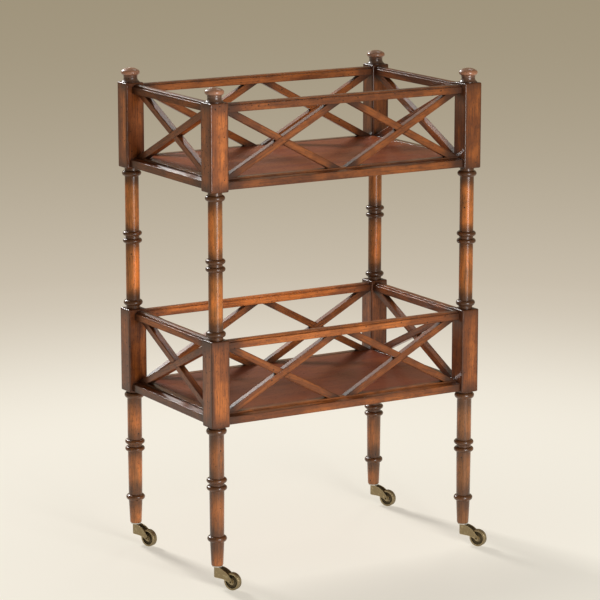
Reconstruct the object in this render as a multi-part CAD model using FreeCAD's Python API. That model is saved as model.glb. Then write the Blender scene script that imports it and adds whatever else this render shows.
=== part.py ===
import FreeCAD, Part
import math
import os
from FreeCAD import Vector

# A two-tray serving cart in turned and joined wood, on brass casters. Millimetres.
# X runs along the long front, Y is the depth with the front at -Y, and Z is up.
# The origin is on the floor, under the middle of the four corner posts.

# Corner posts and the heights that stack up on each corner's axis
post_spacing_x = 524.0
post_spacing_y = 314.0
post_width = 36.0
post_edge_radius = 2.5
post_height = 156.0
caster_height = 40.0
leg_length = 254.0
spindle_length = 262.0
finial_height = 26.0

# Rails, tenoned into the posts, with setbacks taken from the posts' outer faces
rail_margin = 3.0
rail_edge_radius = 0.6
top_rail_setback = 12.0
top_rail_thickness = 20.5
top_rail_height = 16.0
top_ledge_width = 3.6
top_ledge_depth = 3.6
top_edge_radius = 0.9
top_crown = 1.2
top_crown_radius = 8.0
bottom_rail_setback = 6.0
bottom_rail_thickness = 27.0
bottom_rail_height = 18.5
bottom_ledge_width = 13.0
bottom_ledge_depth = 2.5
bottom_edge_radius = 0.8
ledge_slope = 10.0
tenon_thickness = 8.0
tenon_shoulder = 2.0
tenon_wall = 2.4
tenon_end_gap = 0.5
joint_clearance = 0.1

# Shelf panels, held by a tongue in the grooves of the bottom rails
shelf_thickness = 10.0
shelf_drop = 0.4
shelf_gap = 0.6
shelf_edge_chamfer = 0.5
tongue_thickness = 6.0
tongue_length = 6.0
groove_end_gap = 0.5
shelf_post_gap = 0.4

# Lattice of crossed slats between the rails
slat_width = 12.7
slat_thickness = 12.7
slat_setback = 19.8
slat_edge_radius = 1.2
cross_pitch = 270.0
cross_gap = 10.0
lap_clearance = 0.1

# Turned spindles
shaft_diameter = 25.4
ring_diameter = 35.2
ring_height = 10.5
spindle_ring_offset = 10.8
spindle_pair_lift = 2.0
pair_ring_height = 8.6
pair_ring_gap = 5.0

# Turned legs
leg_diameter = 26.8
leg_ring_diameter = 36.6
leg_ring_height = 11.6
leg_ring_offset = 8.0
leg_pair_drop = 104.0
leg_ankle_diameter = 25.3
foot_ring_rise = 50.0
foot_ring_diameter = 35.2
foot_top_diameter = 25.4
foot_diameter = 21.6
foot_edge_radius = 2.2

# Finials
finial_base_diameter = 32.0
finial_base_height = 1.2
finial_neck_diameter = 25.6
finial_neck_height = 10.5
finial_cap_diameter = 34.0
finial_cap_rise = 8.5
finial_shoulder_radius = 5.0

# Dowel screws on the corner axes
screw_diameter = 8.0
screw_grip = 22.0
finial_grip = 13.0
screw_clearance = 0.1
bore_spare = 1.5

# Casters
wheel_diameter = 31.75
wheel_width = 9.5
wheel_edge_radius = 0.9
rim_depth = 3.2
web_thickness = 4.6
web_bead_diameter = 19.0
web_bead_width = 1.8
web_bead_height = 0.8
hub_diameter = 11.0
hub_width = 9.9
tread_groove_width = 1.6
tread_groove_depth = 0.8
tread_ridge_width = 2.2
axle_diameter = 4.0
axle_head_diameter = 5.4
axle_head_height = 0.7
axle_hole_diameter = 2.8
axle_hole_depth = 1.8
running_clearance = 0.05
hub_side_gap = 0.3
cheek_thickness = 2.4
housing_radius = 6.0
housing_height = 19.5
housing_corner_radius = 4.0
housing_nose = 8.0
wheel_gap = 11.0
horn_boss_radius = 3.6
horn_top_angle = 30.0
horn_under_angle = 220.0
horn_top_bulge = 4.0
horn_under_hollow = 1.2
stem_diameter = 7.5
stem_length = 27.0
stem_tip_radius = 1.5
stem_rivet_diameter = 5.0
stem_rivet_height = 1.2
socket_wall = 1.2
socket_length = 30.0
flange_lip = 4.5
flange_thickness = 1.6
swivel_gap = 0.3

# Levels above the floor
lower_tray = caster_height + leg_length
lower_top = lower_tray + post_height
upper_tray = lower_top + spindle_length
upper_top = upper_tray + post_height

# Sizes that follow from the ones above
half_post = post_width / 2
tenon_length = half_post - screw_diameter / 2 - screw_clearance - tenon_wall
bottom_ledge = bottom_rail_height - bottom_ledge_depth
bottom_inner = bottom_rail_setback + bottom_rail_thickness - half_post
top_ledge = top_rail_height - top_ledge_depth
top_rail_rise = post_height - rail_margin - top_rail_height
groove_rise = bottom_rail_height - shelf_drop - shelf_thickness
shelf_floor = rail_margin + groove_rise
shelf_top = shelf_floor + shelf_thickness
lattice_floor = rail_margin + bottom_rail_height
lattice_height = top_rail_rise - lattice_floor
wheel_radius = wheel_diameter / 2
trail = housing_radius + wheel_gap + wheel_radius
horn_top = caster_height - flange_thickness - swivel_gap
horn_underside = horn_top - housing_height
slot_half = hub_width / 2 + hub_side_gap
fork_half = slot_half + cheek_thickness
socket_diameter = stem_diameter + 2 * running_clearance + 2 * socket_wall

corners = {
    "front_left": (-1, -1),
    "front_right": (1, -1),
    "back_left": (-1, 1),
    "back_right": (1, 1),
}

# The way each caster trails, in degrees from the right towards the front
caster_angles = {
    "front_left": 63.0,
    "front_right": 62.0,
    "back_left": 70.0,
    "back_right": 63.0,
}

# The sides in turn about Z, with the post spacing along each one and across it
sides = {
    "front": (post_spacing_x, post_spacing_y),
    "right": (post_spacing_y, post_spacing_x),
    "back": (post_spacing_x, post_spacing_y),
    "left": (post_spacing_y, post_spacing_x),
}

# For each rail of a side: its height on the post, and the top of its tenons
rail_levels = {
    "bottom": (rail_margin, bottom_ledge - tenon_shoulder),
    "top": (top_rail_rise, top_ledge - tenon_shoulder),
}

trays = {"upper": upper_tray, "lower": lower_tray}

z_axis = Vector(0, 0, 1)
origin = Vector(0, 0, 0)


class Outline:
    """A closed outline of lines and curves, drawn point by point in one plane."""

    planes = {
        "XY": lambda across, up: Vector(across, up, 0),
        "XZ": lambda across, up: Vector(across, 0, up),
        "YZ": lambda across, up: Vector(0, across, up),
    }

    def __init__(self, plane, across, up):
        self.point = self.planes[plane]
        self.first = self.point(across, up)
        self.last = self.first
        self.edges = []

    def line(self, across, up):
        end = self.point(across, up)
        self.edges.append(Part.LineSegment(self.last, end).toShape())
        self.last = end
        return self

    def arc(self, via_across, via_up, across, up):
        end = self.point(across, up)
        via = self.point(via_across, via_up)
        self.edges.append(Part.Arc(self.last, via, end).toShape())
        self.last = end
        return self

    def eased(self, across, up, radius, next_across, next_up):
        """A line to a corner, rounded off there towards the next point."""
        corner = self.point(across, up)
        back = (self.last - corner).normalize()
        ahead = (self.point(next_across, next_up) - corner).normalize()
        inward = (back + ahead).normalize()
        half_angle = inward.getAngle(ahead)
        reach = radius / math.tan(half_angle)
        via = corner + inward * (radius / math.sin(half_angle) - radius)
        start = corner + back * reach
        end = corner + ahead * reach
        self.edges.append(Part.LineSegment(self.last, start).toShape())
        self.edges.append(Part.Arc(start, via, end).toShape())
        self.last = end
        return self

    def bowed(self, across, up, bulge):
        """An arc to the point, standing out by the bulge to the left of the way there."""
        end = self.point(across, up)
        way = end - self.last
        along = way.dot(self.point(1, 0))
        rise = way.dot(self.point(0, 1))
        left = self.point(-rise / way.Length, along / way.Length)
        via = (self.last + end) * 0.5 + left * bulge
        self.edges.append(Part.Arc(self.last, via, end).toShape())
        self.last = end
        return self

    def face(self):
        edges = list(self.edges)
        if self.last != self.first:
            edges.append(Part.LineSegment(self.last, self.first).toShape())
        return Part.Face(Part.Wire(edges))


def spun(outline):
    """The solid that an outline in the XZ plane sweeps about the Z axis."""
    return outline.face().revolve(origin, z_axis, 360)


def cylinder(diameter, bottom, top):
    return Part.makeCylinder(diameter / 2, top - bottom, Vector(0, 0, bottom))


def centred_box(length, width, bottom, top):
    corner = Vector(-length / 2, -width / 2, bottom)
    return Part.makeBox(length, width, top - bottom, corner)


def moved(shape, x, y, z):
    copy = shape.copy()
    copy.translate(Vector(x, y, z))
    return copy


def turned(shape, degrees):
    copy = shape.copy()
    copy.rotate(origin, z_axis, degrees)
    return copy


def at_corner(shape, corner, z):
    across, deep = corners[corner]
    return moved(shape, across * post_spacing_x / 2, deep * post_spacing_y / 2, z)


def save(name, solids):
    shape = solids[0] if len(solids) == 1 else Part.makeCompound(solids)
    shape.exportStep("parts/" + name + ".step")


def screw_bore(mouth, grip, direction):
    """A blind bore for one end of a dowel screw, going up (1) or down (-1) from its mouth."""
    end = mouth + direction * (grip + bore_spare)
    return cylinder(screw_diameter + 2 * screw_clearance, min(mouth, end), max(mouth, end))


def corner_post(corner):
    """A square post with mortises for two pairs of rails and a screw bore at each end."""
    block = centred_box(post_width, post_width, 0, post_height)
    post = block.makeFillet(post_edge_radius, block.Edges)
    across, deep = corners[corner]
    facing = [0 if across < 0 else 180, 90 if deep < 0 else 270]
    depth = tenon_length + tenon_end_gap
    cut_width = tenon_thickness + 2 * joint_clearance
    for angle in facing:
        for rise, tenon_top in rail_levels.values():
            low = rise + tenon_shoulder - joint_clearance
            high = rise + tenon_top + joint_clearance
            mortise = moved(centred_box(2 * depth, cut_width, low, high), half_post, 0, 0)
            post = post.cut(turned(mortise, angle))
    post = post.cut(screw_bore(0, screw_grip, 1))
    return post.cut(screw_bore(post_height, screw_grip, -1))


def moulding(points):
    """A face in the YZ plane, its points given as across, up and the radius that eases them."""
    outline = Outline("YZ", points[0][0], points[0][1])
    for point, following in zip(points[1:], points[2:] + points[:1]):
        across, up, radius = point
        if radius:
            outline.eased(across, up, radius, following[0], following[1])
        else:
            outline.line(across, up)
    return outline.face()


def ledge_fall(width):
    """How far a ledge slopes down over its width."""
    return width * math.tan(math.radians(ledge_slope))


def top_rail_face():
    """Plain sides, a sloping ledge along both edges and a crown with two gentle slopes."""
    outer = top_rail_setback - half_post
    inner = outer + top_rail_thickness
    shoulder = top_rail_height - top_crown
    ledge_edge = top_ledge - ledge_fall(top_ledge_width)
    return moulding([
        (inner - top_ledge_width, top_ledge, 0),
        (inner - top_ledge_width, shoulder, top_edge_radius),
        ((outer + inner) / 2, top_rail_height, top_crown_radius),
        (outer + top_ledge_width, shoulder, top_edge_radius),
        (outer + top_ledge_width, top_ledge, 0),
        (outer, ledge_edge, top_edge_radius),
        (outer, 0, rail_edge_radius),
        (inner, 0, rail_edge_radius),
        (inner, ledge_edge, top_edge_radius),
    ])


def bottom_rail_face():
    """A sloping ledge outside, a raised part under the slats, and the panel's groove inside."""
    outer = bottom_rail_setback - half_post
    inner = bottom_inner
    riser = outer + bottom_ledge_width
    ledge_edge = bottom_ledge - ledge_fall(bottom_ledge_width)
    groove_top = groove_rise + tongue_thickness + joint_clearance
    groove_end = inner - tongue_length - groove_end_gap
    return moulding([
        (riser, bottom_ledge, 0),
        (outer, ledge_edge, bottom_edge_radius),
        (outer, 0, rail_edge_radius),
        (inner, 0, rail_edge_radius),
        (inner, groove_rise, 0),
        (groove_end, groove_rise, 0),
        (groove_end, groove_top, 0),
        (inner, groove_top, 0),
        (inner, bottom_rail_height, rail_edge_radius),
        (riser, bottom_rail_height, bottom_edge_radius),
    ])


def rail(face, spacing, tenon_top):
    """A moulded rail between two posts, with a tenon on each end."""
    length = spacing - post_width
    body = face.extrude(Vector(length, 0, 0))
    body.translate(Vector(-length / 2, 0, 0))
    reach = length + 2 * tenon_length
    tenons = centred_box(reach, tenon_thickness, tenon_shoulder, tenon_top)
    between = centred_box(length, tenon_thickness, tenon_shoulder, tenon_top)
    return body.fuse(tenons.cut(between)).removeSplitter()


def at_side(shape, side, z):
    along, across = sides[side]
    turn = 90 * list(sides).index(side)
    return turned(moved(shape, 0, -across / 2, z), turn)


def slat_angle(width):
    """The slope at which a slat's outer edges pass through opposite corners of its opening."""
    tall = lattice_height
    spread = width ** 2 + tall ** 2 - slat_width ** 2
    run = (width * tall ** 2 - slat_width * tall * math.sqrt(spread)) / (tall ** 2 - slat_width ** 2)
    return math.degrees(math.atan2(tall, run))


def stick(length, wide, near, far):
    """A straight stick along X, centred on its own length and width."""
    return Part.makeBox(length, far - near, wide, Vector(-length / 2, near, -wide / 2))


def sloped(shape, degrees):
    copy = shape.copy()
    copy.rotate(origin, Vector(0, -1, 0), degrees)
    return copy


def crossed_slats(width):
    """Two slats of one cross, half-lapped flush, their ends cut level."""
    angle = slat_angle(width)
    long_enough = 2 * (width + lattice_height)
    half = slat_thickness / 2
    blank = stick(long_enough, slat_width, -half, half)
    lengthwise = [edge for edge in blank.Edges if abs(edge.Length - long_enough) < joint_clearance]
    blank = blank.makeFillet(slat_edge_radius, lengthwise)
    level = centred_box(long_enough, slat_thickness, -lattice_height / 2, lattice_height / 2)
    lap_width = slat_width + 2 * lap_clearance
    back_lap = stick(long_enough, lap_width, 0, half)
    front_lap = stick(long_enough, lap_width, -half, 0)
    rising = sloped(blank, angle).common(level).cut(sloped(back_lap, -angle))
    falling = sloped(blank, -angle).common(level).cut(sloped(front_lap, angle))
    return [rising, falling]


def lattice(side):
    """Every slat of one side's lattice, standing on that side's bottom rail."""
    along, across = sides[side]
    crosses = round(along / cross_pitch)
    opening = along - post_width
    width = (opening - (crosses - 1) * cross_gap) / crosses
    inward = slat_setback + slat_thickness / 2 - half_post
    slats = []
    for number in range(crosses):
        middle = (number - (crosses - 1) / 2) * (width + cross_gap)
        for slat in crossed_slats(width):
            slats.append(moved(slat, middle, inward, lattice_floor + lattice_height / 2))
    return slats


def shelf():
    """A panel with a tongue all round, notched to clear the four posts."""
    open_x = post_spacing_x - 2 * bottom_inner
    open_y = post_spacing_y - 2 * bottom_inner
    tongue = centred_box(open_x + 2 * tongue_length, open_y + 2 * tongue_length,
                         shelf_floor, shelf_floor + tongue_thickness)
    field = centred_box(open_x - 2 * shelf_gap, open_y - 2 * shelf_gap, shelf_floor, shelf_top)
    panel = tongue.fuse(field).removeSplitter()
    notch_width = post_width + 2 * shelf_post_gap
    notch = centred_box(notch_width, notch_width, 0, post_height)
    for corner in corners:
        panel = panel.cut(at_corner(notch, corner, 0))
    rim = [edge for edge in panel.Edges
           if abs(edge.BoundBox.ZMin - shelf_top) < joint_clearance]
    return panel.makeChamfer(shelf_edge_chamfer, rim)


def ring(outline, shaft_radius, height, tall, diameter, upper_radius):
    """A turned bead whose middle stands at the given height."""
    outline.line(shaft_radius, height - tall / 2)
    outline.arc(diameter / 2, height, upper_radius, height + tall / 2)


def ring_pair(outline, radius, height, diameter):
    step = (pair_ring_height + pair_ring_gap) / 2
    for middle in (height - step, height + step):
        ring(outline, radius, middle, pair_ring_height, diameter, radius)


def spindle():
    """A turned spindle: a ring near each end and a pair about mid length."""
    radius = shaft_diameter / 2
    upper_ring = spindle_length - spindle_ring_offset
    outline = Outline("XZ", 0, 0).line(radius, 0)
    ring(outline, radius, spindle_ring_offset, ring_height, ring_diameter, radius)
    ring_pair(outline, radius, spindle_length / 2 + spindle_pair_lift, ring_diameter)
    ring(outline, radius, upper_ring, ring_height, ring_diameter, radius)
    outline.line(radius, spindle_length).line(0, spindle_length)
    solid = spun(outline).cut(screw_bore(0, screw_grip, 1))
    return solid.cut(screw_bore(spindle_length, screw_grip, -1))


def lower_leg():
    """A turned leg that thins to an ankle, a foot ring and a tapered foot."""
    radius = leg_diameter / 2
    foot = foot_diameter / 2
    round_middle = foot_edge_radius * (1 - math.sqrt(0.5))
    outline = Outline("XZ", 0, 0).line(foot - foot_edge_radius, 0)
    outline.arc(foot - round_middle, round_middle, foot, foot_edge_radius)
    ring(outline, foot_top_diameter / 2, foot_ring_rise, ring_height, foot_ring_diameter,
         leg_ankle_diameter / 2)
    ring_pair(outline, radius, leg_length - leg_pair_drop, leg_ring_diameter)
    ring(outline, radius, leg_length - leg_ring_offset, leg_ring_height, leg_ring_diameter, radius)
    outline.line(radius, leg_length).line(0, leg_length)
    solid = spun(outline).cut(screw_bore(leg_length, screw_grip, -1))
    socket_bore = socket_diameter + 2 * running_clearance
    return solid.cut(cylinder(socket_bore, 0, socket_length + bore_spare))


def finial():
    """A bun with a low dome, on a hollow neck that flares to the base."""
    base = finial_base_diameter / 2
    neck = finial_neck_diameter / 2
    shoulder = finial_shoulder_radius
    rise = finial_cap_rise
    widest = finial_height - rise
    inset = finial_cap_diameter / 2 - shoulder
    dome_radius = (inset ** 2 + rise ** 2 - shoulder ** 2) / (2 * (rise - shoulder))
    meeting = math.asin(inset / (dome_radius - shoulder))
    underside = widest - math.sqrt(shoulder ** 2 - (neck - inset) ** 2)
    half_way = meeting / 2
    outline = Outline("XZ", 0, 0).line(base, 0).line(base, finial_base_height)
    outline.bowed(neck, finial_neck_height, (base - neck) / 2)
    outline.line(neck, underside)
    outline.arc(inset + shoulder, widest, inset + shoulder * math.sin(meeting),
                widest + shoulder * math.cos(meeting))
    outline.arc(dome_radius * math.sin(half_way),
                finial_height - dome_radius * (1 - math.cos(half_way)), 0, finial_height)
    return spun(outline).cut(screw_bore(0, finial_grip, 1))


def dowel_screws():
    """One screw across each joint of the four corner stacks."""
    screws = []
    joints = [
        (lower_tray, screw_grip),
        (lower_top, screw_grip),
        (upper_tray, screw_grip),
        (upper_top, finial_grip),
    ]
    for corner in corners:
        for height, upper_grip in joints:
            screw = cylinder(screw_diameter, height - screw_grip, height + upper_grip)
            screws.append(at_corner(screw, corner, 0))
    return screws


def caster_socket():
    """A sleeve in the foot, with a flange under it."""
    outer = socket_diameter
    sleeve = cylinder(outer, caster_height, caster_height + socket_length)
    flange = cylinder(outer + 2 * flange_lip, caster_height - flange_thickness, caster_height)
    bore = cylinder(stem_diameter + 2 * running_clearance, 0, caster_height + socket_length)
    return sleeve.fuse(flange).removeSplitter().cut(bore)


def on_circle(radius, degrees):
    angle = math.radians(degrees)
    return trail + radius * math.cos(angle), wheel_radius + radius * math.sin(angle)


def horn_side():
    """The fork seen from the side: stem housing, curved cheek and axle boss."""
    back = -housing_radius
    corner = housing_corner_radius
    slack = corner * (1 - math.sqrt(0.5))
    top_end = on_circle(horn_boss_radius, horn_top_angle)
    boss_end = on_circle(horn_boss_radius, (horn_top_angle + horn_under_angle) / 2 - 180)
    under_start = on_circle(horn_boss_radius, horn_under_angle)
    outline = Outline("XZ", back, horn_top).line(housing_radius, horn_top)
    outline.bowed(top_end[0], top_end[1], horn_top_bulge)
    outline.arc(boss_end[0], boss_end[1], under_start[0], under_start[1])
    outline.bowed(housing_radius + housing_nose, horn_underside, -horn_under_hollow)
    outline.line(back + corner, horn_underside)
    return outline.arc(back + slack, horn_underside + slack, back, horn_underside + corner)


def horn_plan():
    """The fork seen from above: a round back, opening to straddle the wheel."""
    flare = housing_radius + wheel_gap
    reach = trail + 2 * horn_boss_radius
    outline = Outline("XY", 0, -housing_radius).line(flare, -fork_half).line(reach, -fork_half)
    outline.line(reach, fork_half).line(flare, fork_half).line(0, housing_radius)
    return outline.arc(-housing_radius, 0, 0, -housing_radius)


def wheel_slot():
    """The gap between the cheeks, seen from above."""
    flare = housing_radius + wheel_gap
    reach = trail + 3 * horn_boss_radius
    start = housing_radius - cheek_thickness
    outline = Outline("XY", housing_radius, -start).line(flare, -slot_half).line(reach, -slot_half)
    return outline.line(reach, slot_half).line(flare, slot_half).line(housing_radius, start)


def along_axle(shape):
    """Turns a solid made about Z onto the wheel's axle."""
    copy = shape.copy()
    copy.rotate(origin, Vector(1, 0, 0), 90)
    return moved(copy, trail, 0, wheel_radius)


def stem():
    """The fork's round stem, from the rivet under the housing to its eased tip."""
    radius = stem_diameter / 2
    top = caster_height + stem_length
    rivet = stem_rivet_diameter / 2
    outline = Outline("XZ", 0, horn_underside - stem_rivet_height)
    outline.line(rivet, horn_underside - stem_rivet_height).line(rivet, horn_underside)
    outline.line(radius, horn_underside).line(radius, top - stem_tip_radius)
    outline.line(radius - stem_tip_radius, top)
    return spun(outline.line(0, top))


def caster_fork():
    """A horn with its cheeks either side of the wheel, and its stem."""
    side = horn_side().face().extrude(Vector(0, 2 * fork_half, 0))
    side.translate(Vector(0, -fork_half, 0))
    plan = horn_plan().face().extrude(Vector(0, 0, caster_height))
    slot = wheel_slot().face().extrude(Vector(0, 0, caster_height))
    horn = side.common(plan).cut(slot)
    axle_bore = cylinder(axle_diameter + 2 * running_clearance, -2 * fork_half, 2 * fork_half)
    return horn.cut(along_axle(axle_bore)).fuse(stem()).removeSplitter()


def axle():
    """A pin with a low head outside each cheek, hollow at its ends."""
    half = fork_half + axle_head_height
    pin = cylinder(axle_diameter, -half, half)
    head = cylinder(axle_head_diameter, fork_half, half)
    hole = cylinder(axle_hole_diameter, half - axle_hole_depth, half)
    for angle in (0, 180):
        pin = pin.fuse(turned_over(head, angle)).cut(turned_over(hole, angle))
    return along_axle(pin.removeSplitter())


def turned_over(shape, degrees):
    copy = shape.copy()
    copy.rotate(origin, Vector(1, 0, 0), degrees)
    return copy


def wheel():
    """A solid wheel: standing hub, sunk web with a bead, raised rim and a grooved tread."""
    rim = wheel_width / 2
    web = web_thickness / 2
    hub = hub_width / 2
    hub_radius = hub_diameter / 2
    rim_inner = wheel_radius - rim_depth
    edge = wheel_radius - wheel_edge_radius
    round_middle = wheel_radius - wheel_edge_radius * (1 - math.sqrt(0.5))
    side_middle = rim - wheel_edge_radius * (1 - math.sqrt(0.5))
    bore = axle_diameter / 2 + running_clearance
    bead = web_bead_diameter / 2
    bead_inner = bead - web_bead_width / 2
    bead_outer = bead + web_bead_width / 2
    outline = Outline("XZ", bore, -hub).line(hub_radius, -hub).line(hub_radius, -web)
    outline.line(bead_inner, -web).arc(bead, -web - web_bead_height, bead_outer, -web)
    outline.line(rim_inner, -web).line(rim_inner, -rim).line(edge, -rim)
    outline.arc(round_middle, -side_middle, wheel_radius, wheel_edge_radius - rim)
    groove = tread_groove_width / 2
    step = (tread_ridge_width + tread_groove_width) / 2
    for middle in (-step, step):
        outline.line(wheel_radius, middle - groove)
        outline.arc(wheel_radius - tread_groove_depth, middle, wheel_radius, middle + groove)
    outline.line(wheel_radius, rim - wheel_edge_radius)
    outline.arc(round_middle, side_middle, edge, rim)
    outline.line(rim_inner, rim).line(rim_inner, web).line(bead_outer, web)
    outline.arc(bead, web + web_bead_height, bead_inner, web).line(hub_radius, web)
    outline.line(hub_radius, hub).line(bore, hub)
    return along_axle(spun(outline))


def main():
    os.makedirs("parts", exist_ok=True)
    rail_faces = {"bottom": bottom_rail_face(), "top": top_rail_face()}
    for tray, height in trays.items():
        for corner in corners:
            save(tray + "_post_" + corner, [at_corner(corner_post(corner), corner, height)])
        for side, (along, across) in sides.items():
            for place, (rise, tenon_top) in rail_levels.items():
                piece = rail(rail_faces[place], along, tenon_top)
                save(tray + "_" + place + "_rail_" + side, [at_side(piece, side, height + rise)])
            slats = [at_side(slat, side, height) for slat in lattice(side)]
            save(tray + "_lattice_" + side, slats)
        save(tray + "_shelf", [moved(shelf(), 0, 0, height)])
    for corner in corners:
        save("spindle_" + corner, [at_corner(spindle(), corner, lower_top)])
        save("lower_leg_" + corner, [at_corner(lower_leg(), corner, caster_height)])
        save("finial_" + corner, [at_corner(finial(), corner, upper_top)])
        for name, piece in (("fork", caster_fork()), ("axle", axle()), ("wheel", wheel())):
            trailing = turned(piece, -caster_angles[corner])
            save("caster_" + name + "_" + corner, [at_corner(trailing, corner, 0)])
    save("dowel_screws", dowel_screws())
    save("caster_sockets", [at_corner(caster_socket(), corner, 0) for corner in corners])


main()
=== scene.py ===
"""Finishes the wood, brass and steel of a two-tray serving cart and sets up its studio."""

import math
from typing import NamedTuple

import bmesh
import bpy
from bpy.props import FloatProperty, FloatVectorProperty, PointerProperty
from bpy.types import Operator, Panel, PropertyGroup
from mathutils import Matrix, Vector


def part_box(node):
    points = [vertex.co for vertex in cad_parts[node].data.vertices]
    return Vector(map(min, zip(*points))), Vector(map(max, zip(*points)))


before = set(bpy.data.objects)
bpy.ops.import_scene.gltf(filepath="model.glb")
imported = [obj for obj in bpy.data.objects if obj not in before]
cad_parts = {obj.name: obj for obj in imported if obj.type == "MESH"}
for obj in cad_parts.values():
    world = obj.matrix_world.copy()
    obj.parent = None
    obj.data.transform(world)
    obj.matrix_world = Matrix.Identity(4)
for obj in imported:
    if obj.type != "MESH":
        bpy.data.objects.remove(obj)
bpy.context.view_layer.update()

bl_info = {
    "name": "Serving cart finish",
    "version": (1, 0, 0),
    "blender": (4, 5, 0),
    "location": "View3D > Sidebar > Cart",
    "description": "Stains the wood, ages the brass and lights the studio of a serving cart",
    "category": "Object",
}


class Fade(NamedTuple):
    """A soft step: where it starts and ends, and what it gives before and after."""

    start: float
    end: float
    before: float = 0.0
    after: float = 1.0


class Mark(NamedTuple):
    """What a mark does to the wood: how dark and rough it is, and how far it stands out."""

    dark: float
    rough: float
    rise: float


class Turning(NamedTuple):
    """How one kind of turning is finished, by the distance from its rings."""

    clean: Fade
    lacquer: Fade
    lively: float


class Lamp(NamedTuple):
    """Where a lamp hangs round the cart, in degrees and metres, and the size of its panel."""

    azimuth: float
    elevation: float
    distance: float
    width: float
    height: float


TRAYS = ("upper", "lower")
LEVELS = ("top", "bottom")
SIDES = ("front", "right", "back", "left")
CORNERS = ("front_left", "front_right", "back_left", "back_right")

# How light each piece is, in the order of the corners or the sides: its own tone of stain, with
# painted light and shade for how the lamps fall on it, such as the darker posts on the right
TONES_AND_LIGHTING = {
    "upper_post": (1.10, 0.66, 1.36, 0.70),
    "lower_post": (0.92, 0.82, 1.10, 1.06),
    "spindle": (1.50, 1.14, 1.92, 1.12),
    "lower_leg": (0.95, 1.20, 1.74, 1.24),
    "finial": (1.06, 0.92, 1.32, 0.96),
    "upper_top_rail": (0.62, 0.66, 0.81, 0.60),
    "lower_top_rail": (0.99, 0.88, 1.50, 0.97),
    "upper_bottom_rail": (0.54, 0.62, 0.62, 0.63),
    "lower_bottom_rail": (0.74, 0.62, 0.62, 0.66),
    "upper_lattice": (0.62, 1.32, 0.72, 1.40),
    "lower_lattice": (0.78, 1.06, 0.64, 0.98),
}
# The lower shelf is painted darker: painted shade of the upper tray above it
SHELF_TONES_AND_LIGHTING = {"upper": 1.12, "lower": 0.70}

# How clean of glaze the wood is, by the distance from an edge or an end
POST_EDGE = Fade(-0.001, 0.011, before=0.30)
POST_END = Fade(-0.004, 0.042, before=0.30)
RAIL_END = Fade(0.012, 0.070, before=0.30)
SLAT_END = Fade(0.000, 0.060, before=0.05)
SHELF_EDGE = Fade(-0.010, 0.030, before=0.50, after=0.90)

# How much lacquer the pieces have; hands have thinned it on the top rails of the two ends
POST_LACQUER = Fade(0.000, 0.006, before=0.35)
RAIL_LACQUER = 0.90
HANDLED_LACQUER = {"upper": 0.28, "lower": 0.50}
LONG_SLAT_LACQUER = 0.75
END_SLAT_LACQUER = 1.0
SHELF_LACQUER = 0.25

# Share of that lacquer on sharp edges; the posts have more there than on their faces
ARRIS_LACQUER = 0.25
POST_ARRIS_LACQUER = 1.6

# How much of the figure shows on the shelves
SHELF_LIVELY = 0.35

# How far the grain moves on from slat to slat, so that no two match
SLAT_SHIFT_ACROSS = 0.05
SLAT_SHIFT_ALONG = 0.2

# Turnings: from a ring to the plain length beside it, and what changes on the way
PLAIN_LENGTH = Fade(0.006, 0.016)
TURNINGS = {
    "spindle": Turning(
        clean=Fade(0.003, 0.045, before=0.17),
        lacquer=PLAIN_LENGTH._replace(before=1.0, after=0.70),
        lively=1.0,
    ),
    "lower_leg": Turning(
        clean=Fade(0.003, 0.048, before=0.30, after=0.70),
        lacquer=PLAIN_LENGTH._replace(before=1.3, after=1.3),
        lively=0.9,
    ),
    "finial": Turning(
        clean=Fade(0.003, 0.018, before=0.20),
        lacquer=PLAIN_LENGTH._replace(before=1.4, after=1.4),
        lively=0.3,
    ),
}

# Places of the rings, from the ends of the turnings or above a spindle's middle
SPINDLE_END_RING = 0.0108
SPINDLE_PAIR_LIFT = 0.002
LEG_FOOT_RING = 0.050
LEG_PAIR_DROP = 0.104
LEG_TOP_DROP = 0.008
FINIAL_NECK_RING = 0.004

# Marks of the wood; how dark the glaze is, with painted shade where it lies in corners, and how
# dark it is on sharp edges
STREAK = Mark(dark=0.50, rough=0.10, rise=0.5)
PORE = Mark(dark=0.50, rough=0.10, rise=-0.6)
FLECK = Mark(dark=0.85, rough=0.25, rise=-1.2)
GLAZE_AND_SHADE_DARK = 0.82
ARRIS_DARK = 0.45
WOOD_RELIEF = 0.00012

# Soft steps on the patterns of the wood
WOOD_RUBBED = Fade(0.40, 0.62)
WOOD_STREAKS = Fade(0.40, 0.70)
WOOD_PORES = Fade(0.56, 0.70)
WOOD_WIPED = Fade(0.12, 0.85)
# Corners: glaze with painted shade where nearby pieces block the light
WOOD_CORNER_SHADE = Fade(0.30, 0.92)
WOOD_ARRISES = Fade(0.45, 0.95)

# Clouds in the stain: how many to a metre, and how much they push the other patterns about
WOOD_CLOUDS = 38.0
FIGURE_SHARE = 0.7
# The next one breaks up the glaze and painted shade in corners
CORNER_SHADE_RAGGED = 0.3
WIPED_RAGGED = 0.45

# Flecks: the largest one and its soft, ragged edge, in steps of the fleck spacing
FLECK_SIZE = 0.18
FLECK_SOFTNESS = 0.04
FLECK_RAGGED = 0.06

# Waves to a metre in the edges of the flecks
FLECK_WAVES = 900.0

# Patterns of the metal, clouds and grit counted to a metre
METAL_CLOUDS = 160.0
METAL_GRIT = 1500.0
METAL_HOLLOWS = Fade(0.35, 0.95)
METAL_ARRISES = Fade(0.40, 0.90)
METAL_WEAR = Fade(0.52, 0.72, after=0.5)
METAL_SPECKS = Fade(0.58, 0.75, after=0.35)
HOLLOW_RAGGED = 0.5
HOLLOW_DARK = 0.9
HOLLOW_ROUGH = 0.30
GRIT_ROUGH = 0.10
BARE_METALLIC = 0.97
HOLLOW_METALLIC = 0.72
CLOUD_RISE = 0.6
GRIT_RISE = 0.4
METAL_RELIEF = 0.00008
WEB_DARK = 0.8
WEB_SOFTNESS = 0.0003

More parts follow.
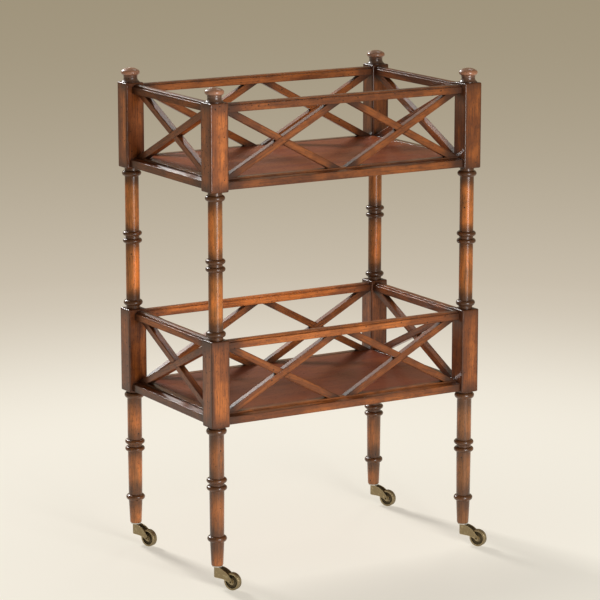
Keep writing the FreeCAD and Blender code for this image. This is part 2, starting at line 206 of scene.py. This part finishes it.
# Floor: a disc just under the wheels, with fades by the distance from the cart
FLOOR_RADIUS = 40.0
FLOOR_SIDES = 96
FLOOR_DROP = 0.0004
MID_FLOOR = Fade(0.5, 2.6)
FLOOR_GLOW = Fade(0.1, 1.5, before=0.45)

# From its start on, each step leaves this share of the near colours
FAR_FLOOR_START = 2.4
FAR_FLOOR_STEP = 2.4
FAR_FLOOR_SHARE = 0.37

LAMP_TARGET = (0, 0, 0.5)
LAMPS = {
    "front": Lamp(azimuth=-1, elevation=7, distance=2.6, width=0.9, height=1.6),
    "back": Lamp(azimuth=-172, elevation=31, distance=6.0, width=0.9, height=1.5),
    "rim": Lamp(azimuth=160, elevation=20.5, distance=5.0, width=0.5, height=0.5),
    "top": Lamp(azimuth=132, elevation=48.5, distance=10.0, width=1.6, height=1.6),
}

# Camera: the width of its sensor in millimetres, and how far it sees in metres
SENSOR_WIDTH = 36
SIGHT = 200


def paint(red, green, blue):
    """Linear colour of an 8-bit screen colour."""
    shares = [part / 255 for part in (red, green, blue)]
    return tuple(s / 12.92 if s <= 0.04045 else ((s + 0.055) / 1.055) ** 2.4 for s in shares)


def colour(name, description, default):
    return FloatVectorProperty(
        name=name, description=description, subtype="COLOR", size=3, min=0, max=1, default=default
    )


def length(name, description, default):
    return FloatProperty(name=name, description=description, unit="LENGTH", min=0, default=default)


def share(name, description, default):
    return FloatProperty(
        name=name, description=description, subtype="FACTOR", min=0, max=1, default=default
    )


def angle(name, description, degrees):
    return FloatProperty(
        name=name, description=description, subtype="ANGLE", default=math.radians(degrees)
    )


def power(name, description, default):
    return FloatProperty(name=name, description=description, unit="POWER", min=0, default=default)


class WoodSettings(PropertyGroup):
    """Stain, glaze and figure of the wood."""

    worn: colour("Worn stain", "Colour where the stain is rubbed thin", paint(190, 108, 47))
    stain: colour("Stain", "Colour of the sound stain", paint(129, 69, 30))
    # In corners this dark colour is also painted shade, besides the glaze
    glaze_and_shade: colour("Glaze", "Dark glaze left in corners and round the turnings", paint(46, 26, 15))
    fleck: colour("Fleck", "Colour of the small distress marks", paint(24, 14, 9))
    shelf: colour("Shelf stain", "Redder stain of the two shelf panels", paint(141, 64, 30))
    turned: colour("Turning stain", "Yellower stain of the turned pieces", paint(129, 80, 39))
    # The finials' stain is paler and greyer than the other turnings': a painted sheen for the
    # reflections on their caps
    finial: colour("Finial stain", "Greyer stain of the finials", paint(154, 111, 88))
    streak_width: length("Streak width", "Width of one streak of grain", 0.0024)
    streak_length: length("Streak length", "Length of one streak of grain", 0.042)
    pore_width: length("Pore width", "Width of one dash of open pores", 0.0016)
    pore_length: length("Pore length", "Length of one dash of open pores", 0.006)
    figure_width: length("Figure width", "Width of a band of figure", 0.030)
    figure_length: length("Figure length", "Length of a band of figure", 0.260)
    fleck_spacing: length("Fleck spacing", "Distance between distress marks", 0.009)
    # How far the glaze and the painted shade reach out of a corner
    corner: length("Corner reach", "How far the glaze spreads out of a corner", 0.016)
    edge: length("Edge reach", "How far the glaze spreads from an edge", 0.003)
    sheen: share("Roughness", "Roughness of the rubbed finish", 0.42)
    specular: share("Specular", "How much the wood under the lacquer mirrors", 0.18)
    lacquer: share("Lacquer", "Weight of the clear lacquer on top", 0.60)
    flat_haze: share("Flat haze", "Roughness of the lacquer on the flat pieces", 0.16)
    turned_haze: share("Turned haze", "Roughness of the lacquer on the turned pieces", 0.22)
    shine: share("Shine", "How much the fibres of the spindles shine in their own colour", 0.18)


class BrassSettings(PropertyGroup):
    """Aged brass of the casters and the bright steel in the feet."""

    brass: colour("Brass", "Colour of the aged brass", paint(146, 130, 100))
    rubbed: colour("Rubbed brass", "Colour where use has polished it", paint(214, 198, 160))
    tarnish: colour("Tarnish", "Brown tarnish in the hollows", paint(58, 48, 32))
    steel: colour("Steel", "Colour of the plated steel", paint(205, 202, 196))
    hollow: length("Hollow size", "How deep a corner has to be to hold tarnish", 0.009)
    edge: length("Edge reach", "How far the polish spreads from an edge", 0.0012)
    web_start: length("Web start", "Where the sunk web of a wheel starts, from its middle", 0.0074)
    web_end: length("Web end", "Where the sunk web of a wheel ends, from its middle", 0.0127)
    fork_haze: share("Fork haze", "Roughness of the caster horns", 0.32)
    axle_haze: share("Axle haze", "Roughness of the axles", 0.28)
    wheel_haze: share("Wheel haze", "Roughness of the wheels", 0.36)
    steel_haze: share("Steel haze", "Roughness of the plated steel", 0.22)


class StudioSettings(PropertyGroup):
    """Camera, floor and lamps."""

    azimuth: angle("Azimuth", "Turn of the camera round the cart", -30.622)
    elevation: angle("Elevation", "Height of the camera over the horizon", 11.891)
    distance: length("Distance", "From the camera to the point that it looks at", 5.1589)
    target: FloatVectorProperty(
        name="Target",
        description="Point that the camera looks at",
        subtype="TRANSLATION",
        unit="LENGTH",
        default=(0.00157, 0.0, 0.46449),
    )
    lens: FloatProperty(
        name="Lens", description="Focal length", unit="CAMERA", min=1, default=168.31
    )
    near_floor: colour("Near floor", "Floor round the cart", paint(253, 247, 233))
    mid_floor: colour("Middle floor", "Floor a few steps behind the cart", paint(203, 192, 174))
    far_floor: colour("Far floor", "Floor and air a long way off", paint(158, 146, 122))
    front_power: power("Front lamp", "Power of the tall lamp in front of the cart", 60)
    back_power: power("Back lamp", "Power of the lamp high behind the cart", 320)
    rim_power: power("Rim lamp", "Power of the small lamp low behind the cart", 3)
    top_power: power("Top lamp", "Power of the lamp far above the cart", 34)
    air: share("Air", "Strength of the light from all round", 0.15)


class CartSettings(PropertyGroup):
    """All settings of the cart."""

    wood: PointerProperty(type=WoodSettings)
    brass: PointerProperty(type=BrassSettings)
    studio: PointerProperty(type=StudioSettings)


def cart():
    return bpy.context.scene.cart


class Wire:
    """One output of a shader node; sums on it add Math nodes."""

    def __init__(self, recipe, socket):
        self.recipe = recipe
        self.socket = socket

    def sum(self, operation, first, second):
        settings = {"operation": operation}
        return self.recipe.node("ShaderNodeMath", settings, {0: first, 1: second})

    def __add__(self, other):
        return self.sum("ADD", self, other)

    __radd__ = __add__

    def __sub__(self, other):
        return self.sum("SUBTRACT", self, other)

    def __rsub__(self, other):
        return self.sum("SUBTRACT", other, self)

    def __mul__(self, other):
        return self.sum("MULTIPLY", self, other)

    __rmul__ = __mul__

    def __truediv__(self, other):
        return self.sum("DIVIDE", self, other)

    def __pow__(self, other):
        return self.sum("POWER", self, other)

    def __rpow__(self, other):
        return self.sum("POWER", other, self)

    def __abs__(self):
        return self.sum("ABSOLUTE", self, 0)

    def least(self, other):
        return self.sum("MINIMUM", self, other)

    def most(self, other):
        return self.sum("MAXIMUM", self, other)


def opaque(shade):
    """A colour with its alpha; a wire stays as it is."""
    return shade if isinstance(shade, Wire) else (*shade[:3], 1.0)


class Recipe:
    """A new material, or the world's air, built up node by node."""

    def __init__(self, name, kind="materials"):
        self.made = getattr(bpy.data, kind).new(name)
        self.made.use_nodes = True
        self.tree = self.made.node_tree
        self.tree.nodes.clear()

    def node(self, kind, settings=None, sockets=None, output=0):
        """Adds a node, sets its settings, then fills its sockets with values or wires."""
        made = self.tree.nodes.new(kind)
        for name, value in (settings or {}).items():
            setattr(made, name, value)
        for name, value in (sockets or {}).items():
            if isinstance(value, Wire):
                self.tree.links.new(value.socket, made.inputs[name])
            else:
                made.inputs[name].default_value = value
        return Wire(self, made.outputs[output]) if len(made.outputs) else None

    def place(self):
        """Object coordinates, in metres of the shared frame."""
        return self.node("ShaderNodeTexCoord", output="Object")

    def parts(self, vector):
        """X, Y and Z of a vector."""
        first = self.node("ShaderNodeSeparateXYZ", sockets={"Vector": vector})
        return [Wire(self, socket) for socket in first.socket.node.outputs]

    def vector(self, x, y, z):
        return self.node("ShaderNodeCombineXYZ", sockets={"X": x, "Y": y, "Z": z})

    def noise(self, vector, scale=1.0, detail=2.0, roughness=0.5, distortion=0.0):
        sockets = {
            "Vector": vector,
            "Scale": scale,
            "Detail": detail,
            "Roughness": roughness,
            "Distortion": distortion,
        }
        return self.node("ShaderNodeTexNoise", sockets=sockets, output="Fac")

    def streaks(self, grain, width, run, **pattern):
        """Noise drawn out along Z, with streaks of a given width and run."""
        counts = (1 / width, 1 / width, 1 / run)
        settings = {"operation": "MULTIPLY"}
        stretched = self.node("ShaderNodeVectorMath", settings, {0: grain, 1: counts})
        return self.noise(stretched, **pattern)

    def fade(self, value, step):
        """What a soft step gives for a value."""
        settings = {"interpolation_type": "SMOOTHSTEP"}
        sockets = {
            "Value": value,
            "From Min": step.start,
            "From Max": step.end,
            "To Min": step.before,
            "To Max": step.after,
        }
        return self.node("ShaderNodeMapRange", settings, sockets)

    def open_air(self, reach, inside=False, local=False):
        """1 in the open and 0 deep in a corner, or at a sharp edge when felt from inside."""
        settings = {"samples": 8, "inside": inside, "only_local": local}
        return self.node("ShaderNodeAmbientOcclusion", settings, {"Distance": reach}, "AO")

    def mixed(self, factor, first, second):
        """A blend of two colours."""
        settings = {"data_type": "RGBA"}
        sockets = {"Factor": factor, 6: opaque(first), 7: opaque(second)}
        return self.node("ShaderNodeMix", settings, sockets, output=2)

    def bump(self, height, distance, strength):
        sockets = {"Height": height, "Distance": distance, "Strength": strength}
        return self.node("ShaderNodeBump", sockets=sockets)

    def surface(self, sockets):
        """Closes the recipe with one physically based shader."""
        shader = self.node("ShaderNodeBsdfPrincipled", sockets=sockets)
        self.node("ShaderNodeOutputMaterial", sockets={"Surface": shader})
        return self.made


def middle(node):
    """Middle of a node's box."""
    low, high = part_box(node)
    return (Vector(low) + Vector(high)) / 2


def run_axis(side):
    """0 where a side runs along X and 1 where it runs along Y."""
    return SIDES.index(side) % 2


def finish(name, material):
    """Gives a CAD node its material."""
    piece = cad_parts[name]
    piece.data.materials.clear()
    piece.data.materials.append(material)


def ragged(value, cloud, amount):
    """A value pushed up and down by a cloud."""
    return value + (cloud - 0.5) * amount


def flecked(recipe, grain):
    """1 inside small distress marks of many sizes, with ragged edges."""
    cells = {"Vector": grain, "Scale": 1 / cart().wood.fleck_spacing, "Randomness": 1.0}
    away = recipe.node("ShaderNodeTexVoronoi", sockets=cells, output="Distance")
    lot = recipe.node("ShaderNodeTexVoronoi", sockets=cells, output="Color")
    draw = recipe.parts(lot)[0]
    edge = recipe.noise(grain, scale=FLECK_WAVES, detail=1.0)
    size = draw * draw * FLECK_SIZE
    return 1 - recipe.fade(away + edge * FLECK_RAGGED, Fade(size, size + FLECK_SOFTNESS))


def stained(
    recipe,
    grain,
    clean,
    tone_and_lighting,
    shade=None,
    lively=1.0,
    lacquer=1.0,
    edges=ARRIS_LACQUER,
    haze=None,
    shine=0.0,
):
    """Stained and glazed wood under a clear lacquer.

    Grain is a vector with the fibres along Z, clean is 0 where the glaze is thick, tone is how
    light the stain is with painted light and shade in it, and lively is how much of the figure
    shows.
    Edges is the share of the lacquer on sharp edges, haze its roughness, and shine how far the
    fibres act as a metal.
    """
    wood = cart().wood
    worn = [part * tone_and_lighting for part in wood.worn]
    sound = [part * tone_and_lighting for part in shade or wood.stain]

    bands = {"detail": 3.0, "roughness": 0.55, "distortion": 0.5}
    lines = {"detail": 4.0, "roughness": 0.6, "distortion": 0.2}
    figure = recipe.streaks(grain, wood.figure_width, wood.figure_length, **bands)
    streak = recipe.streaks(grain, wood.streak_width, wood.streak_length, **lines)
    dashes = recipe.streaks(grain, wood.pore_width, wood.pore_length)
    cloud = recipe.noise(grain, scale=WOOD_CLOUDS, detail=3.0, roughness=0.6)
    pore = recipe.fade(dashes, WOOD_PORES)
    fleck = flecked(recipe, grain)

    # Glaze and painted shade in corners, where nearby pieces block the light
    open_air = recipe.open_air(wood.corner)
    corner = recipe.fade(ragged(open_air, cloud, CORNER_SHADE_RAGGED), WOOD_CORNER_SHADE)
    arris = recipe.fade(recipe.open_air(wood.edge, inside=True, local=True), WOOD_ARRISES)
    wiped = recipe.fade(ragged(clean, cloud, WIPED_RAGGED), WOOD_WIPED)
    rubbed = recipe.fade(figure * FIGURE_SHARE + cloud * (1 - FIGURE_SHARE), WOOD_RUBBED)
    dark_streak = recipe.fade(streak, WOOD_STREAKS) * (STREAK.dark * lively)

    look = recipe.mixed(rubbed * clean * lively, sound, worn)
    look = recipe.mixed(dark_streak, look, wood.glaze_and_shade)
    look = recipe.mixed((1 - wiped * corner) * GLAZE_AND_SHADE_DARK, look, wood.glaze_and_shade)
    look = recipe.mixed((1 - arris) * ARRIS_DARK, look, wood.glaze_and_shade)
    look = recipe.mixed(pore * PORE.dark, look, wood.glaze_and_shade)
    look = recipe.mixed(fleck * FLECK.dark, look, wood.fleck)
    rough = wood.sheen + streak * STREAK.rough + fleck * FLECK.rough + pore * PORE.rough
    height = streak * STREAK.rise + pore * PORE.rise + fleck * FLECK.rise
    return recipe.surface(
        {
            "Base Color": look,
            "Metallic": shine,
            "Roughness": rough,
            "Specular IOR Level": wood.specular,
            "Coat Weight": (arris * (1 - edges) + edges) * (wood.lacquer * lacquer),
            "Coat Roughness": wood.flat_haze if haze is None else haze,
            "Normal": recipe.bump(height, WOOD_RELIEF, strength=0.8),
        }
    )


class CART_OT_finish_posts(Operator):
    """Stain the eight corner posts, darker at their ends and along their edges"""

    bl_idname = "cart.finish_posts"
    bl_label = "Posts"

    def execute(self, context):
        for tray in TRAYS:
            for corner, tone_and_lighting in zip(CORNERS, TONES_AND_LIGHTING[f"{tray}_post"]):
                self.stain(f"{tray}_post_{corner}", tone_and_lighting)
        return {"FINISHED"}

    def stain(self, post, tone_and_lighting):
        recipe = Recipe(f"{post}_wood")
        low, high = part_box(post)
        half = (high[0] - low[0]) / 2
        axis = middle("upper_post_front_left")
        x, y, height = recipe.parts(recipe.place())
        from_axis = abs(abs(x) - abs(axis.x)).least(abs(abs(y) - abs(axis.y)))
        from_end = (height - low[2]).least(high[2] - height)
        clean_edge = recipe.fade(half - from_axis, POST_EDGE)
        clean = clean_edge.least(recipe.fade(from_end, POST_END))
        gloss = {"lacquer": recipe.fade(from_end, POST_LACQUER), "edges": POST_ARRIS_LACQUER}
        finish(post, stained(recipe, recipe.place(), clean, tone_and_lighting, **gloss))


class CART_OT_finish_rails(Operator):
    """Stain the sixteen rails, with the grain along each rail"""

    bl_idname = "cart.finish_rails"
    bl_label = "Rails"

    def execute(self, context):
        for tray in TRAYS:
            for level in LEVELS:
                kind = f"{tray}_{level}_rail"
                for side, tone_and_lighting in zip(SIDES, TONES_AND_LIGHTING[kind]):
                    axis = run_axis(side)
                    handled = axis == 1 and level == "top"
                    lacquer = HANDLED_LACQUER[tray] if handled else RAIL_LACQUER
                    self.stain(f"{kind}_{side}", axis, tone_and_lighting, lacquer)
        return {"FINISHED"}

    def stain(self, rail, axis, tone_and_lighting, lacquer):
        recipe = Recipe(f"{rail}_wood")
        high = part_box(rail)[1]
        place = recipe.parts(recipe.place())
        grain = recipe.vector(place[1 - axis], place[2], place[axis])
        clean = recipe.fade(high[axis] - abs(place[axis]), RAIL_END)
        finish(rail, stained(recipe, grain, clean, tone_and_lighting, lacquer=lacquer))


class CART_OT_finish_lattice(Operator):
    """Stain the crossed slats, with the grain along each slat"""

    bl_idname = "cart.finish_lattice"
    bl_label = "Lattice"

    def execute(self, context):
        for tray in TRAYS:
            kind = f"{tray}_lattice"
            for side, tone_and_lighting in zip(SIDES, TONES_AND_LIGHTING[kind]):
                self.stain(f"{kind}_{side}", run_axis(side), tone_and_lighting)
        return {"FINISHED"}

    def stain(self, lattice, axis, tone_and_lighting):
        """Along X a side has two crosses, and along Y one."""
        recipe = Recipe(f"{lattice}_wood")
        low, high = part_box(lattice)
        place = recipe.parts(recipe.place())
        reach = high[axis]
        run = abs(place[axis])
        lacquer = END_SLAT_LACQUER
        if axis == 0:
            reach = high[axis] / 2
            run = abs(run - reach)
            lacquer = LONG_SLAT_LACQUER
        rise = abs(place[2] - (low[2] + high[2]) / 2)
        slope = math.atan2(high[2] - low[2], 2 * reach)
        along = run * math.cos(slope) + rise * math.sin(slope)
        across = rise * math.cos(slope) - run * math.sin(slope)
        grain = recipe.vector(
            across + place[axis] * SLAT_SHIFT_ACROSS,
            place[1 - axis],
            along + place[2] * SLAT_SHIFT_ALONG,
        )
        clean = recipe.fade(reach - run, SLAT_END)
        finish(lattice, stained(recipe, grain, clean, tone_and_lighting, lacquer=lacquer))


class CART_OT_finish_shelves(Operator):
    """Stain the two shelf panels, redder and plainer than the frame"""

    bl_idname = "cart.finish_shelves"
    bl_label = "Shelves"

    def execute(self, context):
        for tray, tone_and_lighting in SHELF_TONES_AND_LIGHTING.items():
            self.stain(f"{tray}_shelf", tone_and_lighting)
        return {"FINISHED"}

    def stain(self, shelf, tone_and_lighting):
        recipe = Recipe(f"{shelf}_wood")
        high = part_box(shelf)[1]
        x, y, z = recipe.parts(recipe.place())
        grain = recipe.vector(y, z, x)
        clean = recipe.fade((high[0] - abs(x)).least(high[1] - abs(y)), SHELF_EDGE)
        shade = cart().wood.shelf
        finish(shelf, stained(recipe, grain, clean, tone_and_lighting, shade, SHELF_LIVELY, SHELF_LACQUER))


class CART_OT_finish_turnings(Operator):
    """Stain the spindles, the lower legs and the finials, with dark glaze round the rings"""

    bl_idname = "cart.finish_turnings"
    bl_label = "Turnings"

    def execute(self, context):
        wood = cart().wood
        spindle_low, spindle_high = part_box("spindle_front_left")
        leg_low, leg_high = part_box("lower_leg_front_left")
        finial_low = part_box("finial_front_left")[0]
        spindle_rings = (
            spindle_low[2] + SPINDLE_END_RING,
            (spindle_low[2] + spindle_high[2]) / 2 + SPINDLE_PAIR_LIFT,
            spindle_high[2] - SPINDLE_END_RING,
        )
        leg_rings = (
            leg_low[2] + LEG_FOOT_RING,
            leg_high[2] - LEG_PAIR_DROP,
            leg_high[2] - LEG_TOP_DROP,
        )
        finial_rings = (finial_low[2] + FINIAL_NECK_RING,)
        self.stain("spindle", spindle_rings, wood.turned, PLAIN_LENGTH._replace(after=wood.shine))
        self.stain("lower_leg", leg_rings, wood.turned)
        # The finials take the paler, greyer stain: painted sheen
        self.stain("finial", finial_rings, wood.finial)
        return {"FINISHED"}

    def stain(self, kind, rings, shade, shine=None):
        turning = TURNINGS[kind]
        for corner, tone_and_lighting in zip(CORNERS, TONES_AND_LIGHTING[kind]):
            piece = f"{kind}_{corner}"
            recipe = Recipe(f"{piece}_wood")
            height = recipe.parts(recipe.place())[2]
            from_ring = abs(height - rings[0])
            for ring in rings[1:]:
                from_ring = from_ring.least(abs(height - ring))
            clean = recipe.fade(from_ring, turning.clean)
            gloss = {
                "lacquer": recipe.fade(from_ring, turning.lacquer),
                "haze": cart().wood.turned_haze,
            }
            if shine:
                gloss["shine"] = recipe.fade(from_ring, shine)
            grain = recipe.place()
            finish(piece, stained(recipe, grain, clean, tone_and_lighting, shade, turning.lively, **gloss))


def sunk_web(recipe, place, wheel):
    """How dark a wheel is on the sunk web between its hub and its rim."""
    brass = cart().brass
    ends = {0: place, 1: middle(wheel)}
    reach = recipe.node("ShaderNodeVectorMath", {"operation": "DISTANCE"}, ends, "Value")
    past_hub, past_web = [
        recipe.fade(reach, Fade(edge - WEB_SOFTNESS, edge + WEB_SOFTNESS))
        for edge in (brass.web_start, brass.web_end)
    ]
    return past_hub * (1 - past_web) * WEB_DARK


def aged_metal(name, bright, base, tarnish, haze, wheel=None):
    """Metal with tarnish in its hollows, darker on a wheel's sunk web, and fine wear all over."""
    recipe = Recipe(name)
    place = recipe.place()
    brass = cart().brass
    cloud = recipe.noise(place, scale=METAL_CLOUDS, detail=4.0, roughness=0.65)
    grit = recipe.noise(place, scale=METAL_GRIT, detail=2.0)
    hollow = ragged(recipe.open_air(brass.hollow, local=True), cloud, HOLLOW_RAGGED)
    open_air = recipe.fade(hollow, METAL_HOLLOWS)
    arris = recipe.fade(recipe.open_air(brass.edge, inside=True, local=True), METAL_ARRISES)
    polished = (1 - arris).most(recipe.fade(cloud, METAL_WEAR))
    dull = (1 - open_air) * HOLLOW_DARK
    # A wheel is also made darker over its sunk web, between hub and rim
    if wheel:
        dull = dull.most(sunk_web(recipe, place, wheel))
    look = recipe.mixed(polished, base, bright)
    look = recipe.mixed(dull, look, tarnish)
    look = recipe.mixed(recipe.fade(grit, METAL_SPECKS), look, tarnish)
    height = cloud * CLOUD_RISE + grit * GRIT_RISE
    return recipe.surface(
        {
            "Base Color": look,
            "Metallic": open_air * (BARE_METALLIC - HOLLOW_METALLIC) + HOLLOW_METALLIC,
            "Roughness": haze + (1 - open_air) * HOLLOW_ROUGH + grit * GRIT_ROUGH,
            "Normal": recipe.bump(height, METAL_RELIEF, strength=0.5),
        }
    )


class CART_OT_finish_casters(Operator):
    """Age the brass of the caster horns and the wheels, and paint the axles dark as the shade in
    their hollow ends
    """

    bl_idname = "cart.finish_casters"
    bl_label = "Casters"

    def execute(self, context):
        brass = cart().brass
        shades = (brass.rubbed, brass.brass, brass.tarnish)
        # The axles are painted dark all over: painted shade of the hollow rivet ends in the hubs
        shaded_axle_colours = (brass.brass, brass.tarnish, brass.tarnish)
        fork = aged_metal("caster_fork_brass", *shades, brass.fork_haze)
        axle = aged_metal("caster_axle_brass", *shaded_axle_colours, brass.axle_haze)
        for corner in CORNERS:
            wheel = f"caster_wheel_{corner}"
            finish(f"caster_fork_{corner}", fork)
            finish(f"caster_axle_{corner}", axle)
            finish(wheel, aged_metal(f"{wheel}_brass", *shades, brass.wheel_haze, wheel))
        return {"FINISHED"}


class CART_OT_finish_steel(Operator):
    """Finish the caster sockets and the dowel screws inside the frame"""

    bl_idname = "cart.finish_steel"
    bl_label = "Steel"

    def execute(self, context):
        brass = cart().brass
        shades = (brass.steel, brass.steel, brass.tarnish)
        for node in ("caster_sockets", "dowel_screws"):
            finish(node, aged_metal(f"{node}_steel", *shades, brass.steel_haze))
        return {"FINISHED"}


def aim(holder, target, azimuth, elevation, distance):
    """Puts a lamp or a camera round a point, looking at it."""
    flat = math.cos(elevation)
    back = Vector((math.sin(azimuth) * flat, -math.cos(azimuth) * flat, math.sin(elevation)))
    holder.location = Vector(target) + back * distance
    holder.rotation_mode = "QUATERNION"
    holder.rotation_quaternion = (-back).to_track_quat("-Z", "Y")


class CART_OT_set_stage(Operator):
    """Lay the floor, hang the lamps and set the camera"""

    bl_idname = "cart.set_stage"
    bl_label = "Stage"

    def execute(self, context):
        studio = cart().studio
        context.scene.view_settings.view_transform = "Standard"
        self.lay_floor(studio)
        self.fill_air(context, studio)
        for name, lamp in LAMPS.items():
            self.hang_lamp(f"{name}_lamp", lamp, getattr(studio, f"{name}_power"))
        self.set_camera(context, studio)
        return {"FINISHED"}

    def lay_floor(self, studio):
        shape = bmesh.new()
        bmesh.ops.create_circle(shape, cap_ends=True, segments=FLOOR_SIDES, radius=FLOOR_RADIUS)
        bmesh.ops.translate(shape, verts=shape.verts, vec=(0, 0, -FLOOR_DROP))
        mesh = bpy.data.meshes.new("floor")
        shape.to_mesh(mesh)
        shape.free()
        floor = bpy.data.objects.new("floor", mesh)
        bpy.context.collection.objects.link(floor)
        mesh.materials.append(self.floor_paint(studio))

    def floor_paint(self, studio):
        """Matt paint that glows, darker and greyer with the distance."""
        recipe = Recipe("floor_paint")
        x, y = recipe.parts(recipe.place())[:2]
        reach = (x * x + y * y) ** 0.5
        steps = ((reach - FAR_FLOOR_START) / FAR_FLOOR_STEP).most(0)
        shade = recipe.mixed(recipe.fade(reach, MID_FLOOR), studio.near_floor, studio.mid_floor)
        shade = recipe.mixed(1 - FAR_FLOOR_SHARE**steps, shade, studio.far_floor)
        matt = recipe.node("ShaderNodeBsdfDiffuse", sockets={"Color": shade})
        glow = recipe.node("ShaderNodeEmission", sockets={"Color": shade})
        glowing = recipe.fade(reach, FLOOR_GLOW)
        both = recipe.node("ShaderNodeMixShader", sockets={0: glowing, 1: matt, 2: glow})
        recipe.node("ShaderNodeOutputMaterial", sockets={"Surface": both})
        return recipe.made

    def fill_air(self, context, studio):
        """Soft light from all round, at full strength for the camera and in reflections."""
        recipe = Recipe("studio_air", "worlds")
        context.scene.world = recipe.made
        camera = recipe.node("ShaderNodeLightPath", output="Is Camera Ray")
        mirror = recipe.node("ShaderNodeLightPath", output="Is Glossy Ray")
        levels = {"Value": camera.most(mirror), "To Min": studio.air}
        strength = recipe.node("ShaderNodeMapRange", sockets=levels)
        light = {"Color": opaque(studio.far_floor), "Strength": strength}
        air = recipe.node("ShaderNodeBackground", sockets=light)
        recipe.node("ShaderNodeOutputWorld", sockets={"Surface": air})

    def hang_lamp(self, name, lamp, watts):
        light = bpy.data.lights.new(name, "AREA")
        light.shape = "RECTANGLE"
        light.size = lamp.width
        light.size_y = lamp.height
        light.energy = watts
        holder = bpy.data.objects.new(name, light)
        bpy.context.collection.objects.link(holder)
        holder.visible_camera = False
        azimuth = math.radians(lamp.azimuth)
        aim(holder, LAMP_TARGET, azimuth, math.radians(lamp.elevation), lamp.distance)

    def set_camera(self, context, studio):
        camera = bpy.data.cameras.new("camera")
        camera.lens = studio.lens
        camera.sensor_width = SENSOR_WIDTH
        camera.clip_end = SIGHT
        holder = bpy.data.objects.new("camera", camera)
        bpy.context.collection.objects.link(holder)
        aim(holder, studio.target, studio.azimuth, studio.elevation, studio.distance)
        context.scene.camera = holder


OPERATORS = (
    CART_OT_finish_posts,
    CART_OT_finish_rails,
    CART_OT_finish_lattice,
    CART_OT_finish_shelves,
    CART_OT_finish_turnings,
    CART_OT_finish_casters,
    CART_OT_finish_steel,
    CART_OT_set_stage,
)


class CART_PT_finish(Panel):
    """Finish of the cart"""

    bl_label = "Serving cart"
    bl_idname = "CART_PT_finish"
    bl_space_type = "VIEW_3D"
    bl_region_type = "UI"
    bl_category = "Cart"

    def draw(self, context):
        settings = context.scene.cart
        for group in (settings.wood, settings.brass, settings.studio):
            box = self.layout.box()
            for name in group.__annotations__:
                box.prop(group, name)
        for operator in OPERATORS:
            self.layout.operator(operator.bl_idname)


CLASSES = (WoodSettings, BrassSettings, StudioSettings, CartSettings, *OPERATORS, CART_PT_finish)


def register():
    for cls in CLASSES:
        bpy.utils.register_class(cls)
    bpy.types.Scene.cart = PointerProperty(type=CartSettings)


def unregister():
    del bpy.types.Scene.cart
    for cls in reversed(CLASSES):
        bpy.utils.unregister_class(cls)


def main():
    register()
    bpy.ops.cart.finish_posts()
    bpy.ops.cart.finish_rails()
    bpy.ops.cart.finish_lattice()
    bpy.ops.cart.finish_shelves()
    bpy.ops.cart.finish_turnings()
    bpy.ops.cart.finish_casters()
    bpy.ops.cart.finish_steel()
    bpy.ops.cart.set_stage()


if __name__ == "__main__":
    main()
